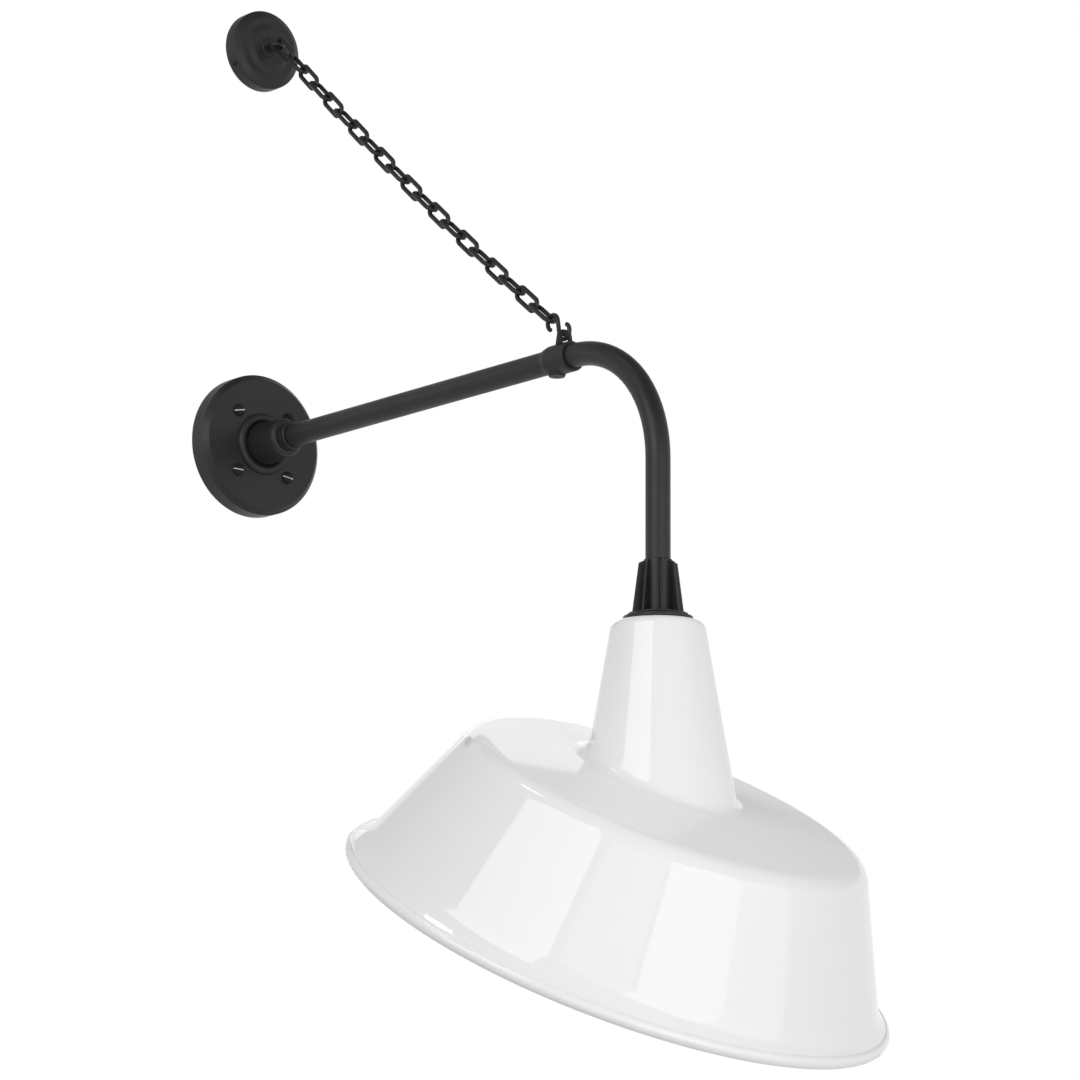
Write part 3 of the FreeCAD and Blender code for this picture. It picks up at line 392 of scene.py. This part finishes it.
@once
def metal_finish(name, colour, smooth, rough, grain_size):
    """Bare or plated metal, brighter along its edges."""
    finish = Finish(name)
    grain = finish.group(grain_group(), Grain_Size=grain_size, Cloud_Size=8 * MM, Wave_Share=0.6)
    edges = finish.group(edge_group(), Gain=6.0)
    dull = scaled(colour, 0.72)
    stained = finish.blend(finish.spread(grain.outputs["Cloud"], low=0.0, high=0.6), colour, dull)
    return finish.feed(
        Base_Color=finish.blend(edges.outputs["Edge"], stained, colour),
        Metallic=1.0,
        Roughness=finish.spread(grain.outputs["Cloud"], low=smooth, high=rough),
        Normal=finish.bump(grain.outputs["Height"], 0.004 * MM, edges.outputs["Normal"]),
    )


@once
def porcelain_finish(name, colour):
    """Glazed porcelain, speckled and a little duller where the glaze is thin."""
    finish = Finish(name)
    grain = finish.group(grain_group(), Grain_Size=2.4 * MM, Cloud_Size=14 * MM, Wave_Share=0.7)
    edges = finish.group(edge_group(), Gain=3.0)
    bare = scaled(colour, 0.86)
    cloudy = finish.blend(finish.spread(grain.outputs["Cloud"], low=0.0, high=0.35), colour, bare)
    return finish.feed(
        Base_Color=finish.blend(edges.outputs["Edge"], cloudy, bare),
        Roughness=finish.spread(grain.outputs["Cloud"], low=0.1, high=0.26),
        Normal=finish.bump(grain.outputs["Height"], 0.02 * MM, edges.outputs["Normal"]),
    )


@once
def rubber_finish(name, colour):
    """Dull moulded rubber."""
    finish = Finish(name)
    grain = finish.group(grain_group(), Grain_Size=0.5 * MM, Cloud_Size=9 * MM, Wave_Share=0.3)
    dusty = scaled(colour, 2.2)
    return finish.feed(
        Base_Color=finish.blend(finish.spread(grain.outputs["Cloud"], low=0.0, high=0.7), colour, dusty),
        Roughness=finish.spread(grain.outputs["Cloud"], low=0.7, high=0.9),
        Specular_IOR_Level=0.3,
        Normal=finish.bump(grain.outputs["Height"], 0.02 * MM),
    )


def cast_coat():
    """Powder coat over sand castings."""
    coat = bpy.context.scene.barn_light_coat
    return coat_finish("cast_coat", coat, coat.cast_grain, coat.cast_depth, coat.shine)


def pipe_coat():
    """Powder coat over drawn pipe and wire."""
    coat = bpy.context.scene.barn_light_coat
    return coat_finish("pipe_coat", coat, coat.pipe_grain, coat.pipe_depth, coat.shine)


def screw_coat():
    """Thin dull black of the wall screws."""
    coat = bpy.context.scene.barn_light_coat
    return coat_finish("screw_coat", coat, coat.pipe_grain, coat.pipe_depth / 2, coat.screw_shine)


def zinc():
    """Plated steel of the small fasteners."""
    colour = tuple(bpy.context.scene.barn_light_metals.zinc)
    return metal_finish("zinc_plate", colour, smooth=0.3, rough=0.46, grain_size=0.5 * MM)


def brass():
    """Brass of the lampholder's live parts."""
    colour = tuple(bpy.context.scene.barn_light_metals.brass)
    return metal_finish("brass_sheet", colour, smooth=0.2, rough=0.36, grain_size=0.8 * MM)


def rubber():
    """Rubber of the gaskets."""
    return rubber_finish("gasket_rubber", tuple(bpy.context.scene.barn_light_metals.rubber))


def dress(material, *names):
    """Give nodes of the frame a finish."""
    for name in names:
        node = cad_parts[name]
        node.data.materials.clear()
        node.data.materials.append(material)


# Turned and threaded meshes, which stand on +Z

# Radius, height and shoulder of the head, length under it that isn't cut, and radii of neck and thread
ScrewSize = namedtuple("ScrewSize", "radius height rounding clamped neck crest")

# Steps over the shoulder of a head, height of the step onto the neck, and how far a cutter runs past
HEAD_STEPS = 8
NECK_STEP = 0.1 * MM
CUT_PAST = 1.0 * MM

# How much the thread is turned down at its blunt tip, in thread depths
TIP_SHARE = 0.9

# How far from the middle a slot's faces may lie, in slot widths, and how far under its floor
SLOT_SHARE = 0.51
FLOOR_SLACK = 0.01 * MM


def skin(mesh, rings, closed=True):
    """Join rings of vertices, each with as many, into faces."""
    for lower, upper in zip(rings, rings[1:]):
        count = len(lower)
        for index in range(count):
            after = (index + 1) % count
            mesh.faces.new((lower[index], lower[after], upper[after], upper[index]))
    if closed:
        mesh.faces.new(rings[0][::-1])
        mesh.faces.new(rings[-1])


def ring_of(mesh, sides, radius, height):
    """A level ring of vertices. The radius may follow the angle."""
    ring = []
    for index in range(sides):
        turn = FULL_TURN * index / sides
        reach = radius(turn) if callable(radius) else radius
        ring.append(mesh.verts.new((reach * math.cos(turn), reach * math.sin(turn), height)))
    return ring


def thread_radius(crest, depth, pitch, height):
    """Radius of a V thread at a height, as a function of the angle."""

    def at(turn):
        phase = (height / pitch - turn / FULL_TURN) % 1.0
        return crest - depth * abs(2 * phase - 1)

    return at


def rolled_radius(middle, swing, pitch, height):
    """Radius of a round rolled thread at a height, as a function of the angle."""

    def at(turn):
        return middle + swing * math.cos(FULL_TURN * height / pitch - turn)

    return at


def finished_object(mesh, name, finishes, place):
    """Turn a mesh into an object in its place, smooth but for its sharp edges."""
    data = bpy.data.meshes.new(name)
    bmesh.ops.recalc_face_normals(mesh, faces=mesh.faces)
    for face in mesh.faces:
        face.smooth = True
    mesh.to_mesh(data)
    mesh.free()
    data.set_sharp_from_angle(angle=SHARP_ANGLE)
    for finish in finishes:
        data.materials.append(finish)
    piece = bpy.data.objects.new(name, data)
    bpy.context.scene.collection.objects.link(piece)
    piece.matrix_world = place
    return piece


def arc_profile(radius, height, rounding, steps):
    """(radius, height) points over the rounded shoulder of a screw head."""
    points = []
    for step in range(steps + 1):
        turn = math.pi / 2 * step / steps
        across = radius - rounding + rounding * math.cos(turn)
        points.append((across, height - rounding + rounding * math.sin(turn)))
    return points


def slot_cutter(width, reach, floor, top):
    """A box that cuts a screwdriver slot, as an object that isn't shown."""
    mesh = bmesh.new()
    bmesh.ops.create_cube(mesh, size=1.0)
    bmesh.ops.scale(mesh, vec=(2 * reach, width, top - floor), verts=mesh.verts)
    bmesh.ops.translate(mesh, vec=(0, 0, (top + floor) / 2), verts=mesh.verts)
    data = bpy.data.meshes.new("slot_cutter")
    mesh.to_mesh(data)
    mesh.free()
    cutter = bpy.data.objects.new("slot_cutter", data)
    bpy.context.scene.collection.objects.link(cutter)
    return cutter


def cut_slot(piece, size):
    """Cut a slot in a screw head and give its walls the piece's second finish."""
    threads = bpy.context.scene.barn_light_threads
    width = threads.slot_width
    floor = size.height - threads.slot_depth
    cutter = slot_cutter(width, size.radius + CUT_PAST, floor, size.height + CUT_PAST)
    cutter.matrix_world = piece.matrix_world
    carve = piece.modifiers.new("slot", "BOOLEAN")
    carve.object = cutter
    carve.solver = "EXACT"
    bpy.context.view_layer.update()
    graph = bpy.context.evaluated_depsgraph_get()
    carved = bpy.data.meshes.new_from_object(piece.evaluated_get(graph))
    piece.modifiers.clear()
    piece.data = carved
    bpy.data.objects.remove(cutter)
    for face in carved.polygons:
        within = abs(face.center.y) < width * SLOT_SHARE and face.center.z > floor - FLOOR_SLACK
        if within and len(carved.materials) > 1:
            face.material_index = 1


def screw_piece(name, node, size, turn, finishes):
    """A round head screw with a cut thread, in the place of a node. Its head faces -Y."""
    threads = bpy.context.scene.barn_light_threads
    sides = threads.sides
    pitch = threads.screw_pitch
    depth = threads.screw_depth
    low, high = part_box(node)
    seat = low.y + size.height
    reach = high.y - seat
    tip = depth * TIP_SHARE
    mesh = bmesh.new()
    rings = [ring_of(mesh, sides, size.crest - tip, -reach)]
    steps = math.ceil((reach - size.clamped) / pitch * threads.rings)
    for step in range(1, steps + 1):
        level = -reach + (reach - size.clamped) * step / steps
        run_in = min(1.0, (level + reach) / pitch)
        run_out = max(0.0, min(1.0, (-size.clamped - level) / pitch))
        crest = size.crest - tip * (1 - run_in) - (size.crest - size.neck) * (1 - run_out)
        cut = thread_radius(crest, depth * run_in * run_out, pitch, level)
        rings.append(ring_of(mesh, sides, cut, level))
    rings.append(ring_of(mesh, sides, size.neck, NECK_STEP - size.clamped))
    rings.append(ring_of(mesh, sides, size.neck, 0.0))
    rings.append(ring_of(mesh, sides, size.radius, 0.0))
    for across, level in arc_profile(size.radius, size.height, size.rounding, HEAD_STEPS):
        rings.append(ring_of(mesh, sides, across, level))
    skin(mesh, rings)
    outward = Matrix(((1, 0, 0, 0), (0, 0, -1, 0), (0, 1, 0, 0), (0, 0, 0, 1)))
    middle = Vector(((low.x + high.x) / 2, seat, (low.z + high.z) / 2))
    place = Matrix.Translation(middle) @ outward @ Matrix.Rotation(turn, 4, "Z")
    return finished_object(mesh, name, finishes, place)


def slotted_screw(name, node, size, degrees, finishes):
    """A screw in the place of a node, with its slot cut."""
    piece = screw_piece(name, node, size, math.radians(degrees), finishes)
    cut_slot(piece, size)
    return piece


# One operator for each piece or group of like pieces


class BarnLightOperator:
    """What the operators share."""

    bl_options = {"REGISTER", "UNDO"}

    def execute(self, context):
        """Make the pieces. What fails raises its error."""
        self.make(context.scene)
        return {"FINISHED"}


class BARNLIGHT_OT_wall_plate(BarnLightOperator, Operator):
    """Coat the wall plate and the collar, and finish the gasket and the grounding screw"""

    bl_idname = "barn_light.wall_plate"
    bl_label = "Wall plate"

    def make(self, scene):
        dress(cast_coat(), "wall_plate", "pipe_collar")
        dress(rubber(), "wall_gasket")
        green = tuple(scene.barn_light_metals.ground_green)
        dyed = metal_finish("green_screw", green, smooth=0.32, rough=0.45, grain_size=0.5 * MM)
        dress(dyed, "ground_screw")


class BARNLIGHT_OT_wall_screws(BarnLightOperator, Operator):
    """Cut the four slotted wall screws, each turned as its driver left it"""

    bl_idname = "barn_light.wall_screws"
    bl_label = "Wall screws"

    size = ScrewSize(5.9 * MM, 2.8 * MM, 2.0 * MM, 7.2 * MM, 2.1 * MM, 2.4 * MM)

    # Degrees that each slot is turned, and which screws show bare metal in theirs
    turns = (-35, -9, 11, -2)
    worn_slots = (2, 3, 4)

    def make(self, scene):
        for number, degrees in enumerate(self.turns, start=1):
            slot_finish = zinc() if number in self.worn_slots else screw_coat()
            finishes = (screw_coat(), slot_finish)
            node = "wall_plate_screw_%d" % number
            piece = slotted_screw("slotted_screw_%d" % number, node, self.size, degrees, finishes)
            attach(piece, "bracket")
            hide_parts(node)


class BARNLIGHT_OT_arm(BarnLightOperator, Operator):
    """Coat the bent pipe and the chain clamp"""

    bl_idname = "barn_light.arm"
    bl_label = "Arm and clamp"

    def make(self, scene):
        dress(pipe_coat(), "arm_pipe")
        dress(cast_coat(), "chain_clamp", "clamp_set_screw")


class BARNLIGHT_OT_rosette(BarnLightOperator, Operator):
    """Coat the rosette and its eye, and finish the bracket behind it"""

    bl_idname = "barn_light.rosette"
    bl_label = "Rosette"

    size = ScrewSize(4.0 * MM, 2.6 * MM, 1.2 * MM, 8.0 * MM, 1.7 * MM, 2.0 * MM)
    turns = (24, -8)

    def make(self, scene):
        dress(cast_coat(), "rosette_cover")
        dress(pipe_coat(), "screw_eye", "rosette_set_screw")
        dress(zinc(), "rosette_bracket")
        for number, degrees in enumerate(self.turns, start=1):
            node = "rosette_bracket_screw_%d" % number
            piece = slotted_screw("bracket_screw_%d" % number, node, self.size, degrees, (zinc(),))
            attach(piece, "bracket")
            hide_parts(node)


class BARNLIGHT_OT_chain(BarnLightOperator, Operator):
    """Coat the chain and its S hook"""

    bl_idname = "barn_light.chain"
    bl_label = "Chain"

    def make(self, scene):
        links = [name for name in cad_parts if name.startswith("chain_link")]
        dress(pipe_coat(), "s_hook", *links)


class BARNLIGHT_OT_fitter(BarnLightOperator, Operator):
    """Coat the finned fitter, and finish what clamps the shade to it"""

    bl_idname = "barn_light.fitter"
    bl_label = "Fitter"

    def make(self, scene):
        dress(cast_coat(), "fitter_hub")
        dress(zinc(), "fitter_set_screw", "lamp_nipple", "neck_washer", "neck_locknut")
        dress(rubber(), "shade_gasket")


class BARNLIGHT_OT_shade(BarnLightOperator, Operator):
    """Enamel the shade"""

    bl_idname = "barn_light.shade"
    bl_label = "Shade"

    def make(self, scene):
        dress(enamel_finish("white_enamel_coat", scene.barn_light_enamel), "shade")


class BARNLIGHT_OT_lampholder(BarnLightOperator, Operator):
    """Glaze the lampholder, and roll the thread of its brass shell"""

    bl_idname = "barn_light.lampholder"
    bl_label = "Lampholder"

    # Plain strip at the shell's foot, how far its top is drawn in and over which height,
    # radius of the hole in the top, and steps of faces up the thread
    plain = 1.2 * MM
    taper = 4.0 * MM
    taper_depth = 5.6 * MM
    mouth = 6.0 * MM
    steps = 72

    def make(self, scene):
        glaze = porcelain_finish("lampholder_glaze", tuple(scene.barn_light_metals.porcelain))
        dress(glaze, "lampholder_body", "lampholder_cap")
        dress(brass(), "lampholder_terminal_1", "lampholder_terminal_2", "centre_contact")
        shell = self.threaded_shell(scene.barn_light_threads)
        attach(shell, "shade_head")
        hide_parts("lampholder_shell")

    def threaded_shell(self, threads):
        """Sheet brass shell with a rolled thread, open at the foot and drawn in at the top."""
        low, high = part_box("lampholder_shell")
        outer = (high.x - low.x) / 2
        tall = high.z - low.z
        sheet = threads.shell_sheet
        swing = threads.shell_depth
        sides = threads.sides * 2
        run = tall - self.taper_depth - self.plain
        levels = [self.plain + run * step / self.steps for step in range(self.steps + 1)]
        mesh = bmesh.new()
        outside = [ring_of(mesh, sides, outer, 0.0)]
        inside = [ring_of(mesh, sides, outer - sheet, 0.0)]
        for level in levels:
            ends = min(level - self.plain, self.plain + run - level) / threads.shell_pitch
            here = swing * min(1.0, ends * 2)
            rolled = rolled_radius(outer - here, here, threads.shell_pitch, level)
            outside.append(ring_of(mesh, sides, rolled, level))
            rolled = rolled_radius(outer - here - sheet, here, threads.shell_pitch, level)
            inside.append(ring_of(mesh, sides, rolled, level))
        outside.append(ring_of(mesh, sides, outer - self.taper, tall))
        inside.append(ring_of(mesh, sides, outer - self.taper - sheet, tall - sheet))
        outside.append(ring_of(mesh, sides, self.mouth, tall))
        inside.append(ring_of(mesh, sides, self.mouth, tall - sheet))
        skin(mesh, inside[::-1] + outside + inside[-1:], closed=False)
        place = Matrix.Translation(Vector(((low.x + high.x) / 2, (low.y + high.y) / 2, low.z)))
        return finished_object(mesh, "threaded_shell", (brass(),), place)


class BARNLIGHT_OT_stage(BarnLightOperator, Operator):
    """Set the floor, the lamps, the surroundings and the camera"""

    bl_idname = "barn_light.stage"
    bl_label = "Stage"

    def make(self, scene):
        stage = scene.barn_light_stage
        self.make_floor(stage)
        self.make_room(scene, stage)
        low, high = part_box("shade")
        for lamp in LAMPS:
            self.make_lamp((low + high) / 2, *lamp)
        self.make_camera(scene, stage)
        scene.view_settings.view_transform = "Standard"

    def seen_rays(self, tree):
        """1 where a camera, mirror or glass ray looks, and 0 for the light that falls on surfaces."""
        path = tree.nodes.new("ShaderNodeLightPath")
        seen = math_node(tree, "MAXIMUM", path.outputs["Is Camera Ray"], path.outputs["Is Glossy Ray"])
        return math_node(tree, "MAXIMUM", seen, path.outputs["Is Transmission Ray"])

    def make_floor(self, stage):
        """A pale floor that keeps the shadow and meets the white room."""
        low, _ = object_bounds()
        half = stage.floor_size / 2
        mesh = bmesh.new()
        bmesh.ops.create_grid(mesh, x_segments=8, y_segments=8, size=half)
        data = bpy.data.meshes.new("studio_floor")
        mesh.to_mesh(data)
        mesh.free()
        floor = bpy.data.objects.new("studio_floor", data)
        bpy.context.scene.collection.objects.link(floor)
        floor.location = (0, 0, low.z - stage.floor_drop)
        material = bpy.data.materials.new("floor_paper")
        material.use_nodes = True
        tree = material.node_tree
        shader = tree.nodes["Principled BSDF"]
        shader.inputs["Base Color"].default_value = (*stage.floor_colour, 1)
        shader.inputs["Roughness"].default_value = 0.9
        shader.inputs["Specular IOR Level"].default_value = 0.0
        glow = tree.nodes.new("ShaderNodeEmission")
        blend = tree.nodes.new("ShaderNodeMixShader")
        seen_glow = math_node(tree, "MULTIPLY", self.seen_rays(tree), stage.floor_glow)
        tree.links.new(seen_glow, blend.inputs["Fac"])
        tree.links.new(shader.outputs["BSDF"], blend.inputs[1])
        tree.links.new(glow.outputs["Emission"], blend.inputs[2])
        tree.links.new(blend.outputs["Shader"], tree.nodes["Material Output"].inputs["Surface"])
        data.materials.append(material)
        floor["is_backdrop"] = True

    def make_room(self, scene, stage):
        """A white surround under a darker ceiling, which lights surfaces more softly than it looks."""
        world = bpy.data.worlds.new("white_room")
        world.use_nodes = True
        tree = world.node_tree
        surround = tree.nodes["Background"]
        surround.inputs["Color"].default_value = (1, 1, 1, 1)
        way = tree.nodes.new("ShaderNodeSeparateXYZ")
        tree.links.new(tree.nodes.new("ShaderNodeTexCoord").outputs["Generated"], way.inputs[0])
        ramp = tree.nodes.new("ShaderNodeValToRGB")
        ramp.color_ramp.interpolation = "EASE"
        stops = ramp.color_ramp.elements
        stops.remove(stops[1])
        for index, (rise, strength) in enumerate(ROOM_SHADES):
            place = (math.sin(math.radians(rise)) + 1) / 2
            stop = stops.new(place) if index else stops[0]
            stop.position = place
            stop.color = (strength, strength, strength, 1)
        level = math_node(tree, "MULTIPLY", math_node(tree, "ADD", way.outputs["Z"], 1.0), 0.5)
        tree.links.new(level, ramp.inputs["Fac"])
        change = math_node(tree, "SUBTRACT", ramp.outputs["Color"], stage.room_light)
        extra = math_node(tree, "MULTIPLY", self.seen_rays(tree), change)
        tree.links.new(math_node(tree, "ADD", extra, stage.room_light), surround.inputs["Strength"])
        scene.world = world

    def make_lamp(self, target, name, heading, rise, distance, width, height, brightness):
        """A soft box that faces the shade."""
        turn = math.radians(heading)
        lift = math.radians(rise)
        away = Vector((math.sin(turn) * math.cos(lift), math.cos(turn) * math.cos(lift), math.sin(lift)))
        data = bpy.data.lights.new(name, "AREA")
        data.shape = "RECTANGLE"
        data.size = width
        data.size_y = height
        data.energy = brightness * LAMP_WATTS * width * height
        lamp = bpy.data.objects.new(name, data)
        bpy.context.scene.collection.objects.link(lamp)
        lamp.location = target + away * distance
        lamp.rotation_euler = (-away).to_track_quat("-Z", "Y").to_euler()
        lamp.visible_camera = False

    def make_camera(self, scene, stage):
        """The camera at the photograph's place."""
        data = bpy.data.cameras.new("photo_camera")
        data.lens = stage.camera_lens
        data.clip_end = stage.camera_sight
        camera = bpy.data.objects.new("photo_camera", data)
        scene.collection.objects.link(camera)
        tip = Matrix.Rotation(math.pi / 2 + stage.camera_rise, 4, "X")
        lean = Matrix.Rotation(stage.camera_roll, 4, "Z")
        turn = Matrix.Rotation(-stage.camera_heading, 4, "Z")
        camera.matrix_world = Matrix.Translation(stage.camera_place) @ turn @ tip @ lean
        scene.camera = camera


class BARNLIGHT_PT_sidebar(Panel):
    """The steps that dress the barn light"""

    bl_label = "Barn light"
    bl_idname = "BARNLIGHT_PT_sidebar"
    bl_space_type = "VIEW_3D"
    bl_region_type = "UI"
    bl_category = "Barn light"

    def draw(self, context):
        for group in PROPERTY_GROUPS:
            settings = getattr(context.scene, group)
            box = self.layout.box()
            for name in settings.__annotations__:
                box.prop(settings, name)
        for operator in OPERATORS:
            self.layout.operator(operator.bl_idname)


PROPERTY_GROUPS = {
    "barn_light_coat": BarnLightCoat,
    "barn_light_enamel": BarnLightEnamel,
    "barn_light_metals": BarnLightMetals,
    "barn_light_threads": BarnLightThreads,
    "barn_light_stage": BarnLightStage,
}
OPERATORS = (
    BARNLIGHT_OT_wall_plate,
    BARNLIGHT_OT_wall_screws,
    BARNLIGHT_OT_arm,
    BARNLIGHT_OT_rosette,
    BARNLIGHT_OT_chain,
    BARNLIGHT_OT_fitter,
    BARNLIGHT_OT_shade,
    BARNLIGHT_OT_lampholder,
    BARNLIGHT_OT_stage,
)


def register():
    """Add the settings, the operators and the panel."""
    for name, group in PROPERTY_GROUPS.items():
        bpy.utils.register_class(group)
        setattr(bpy.types.Scene, name, PointerProperty(type=group))
    for operator in OPERATORS:
        bpy.utils.register_class(operator)
    bpy.utils.register_class(BARNLIGHT_PT_sidebar)


def unregister():
    """Take them away again."""
    bpy.utils.unregister_class(BARNLIGHT_PT_sidebar)
    for operator in reversed(OPERATORS):
        bpy.utils.unregister_class(operator)
    for name, group in PROPERTY_GROUPS.items():
        delattr(bpy.types.Scene, name)
        bpy.utils.unregister_class(group)


def main():
    """Dress the light step by step."""
    register()
    for operator in OPERATORS:
        module, name = operator.bl_idname.split(".")
        getattr(getattr(bpy.ops, module), name)()


if __name__ == "__main__":
    main()
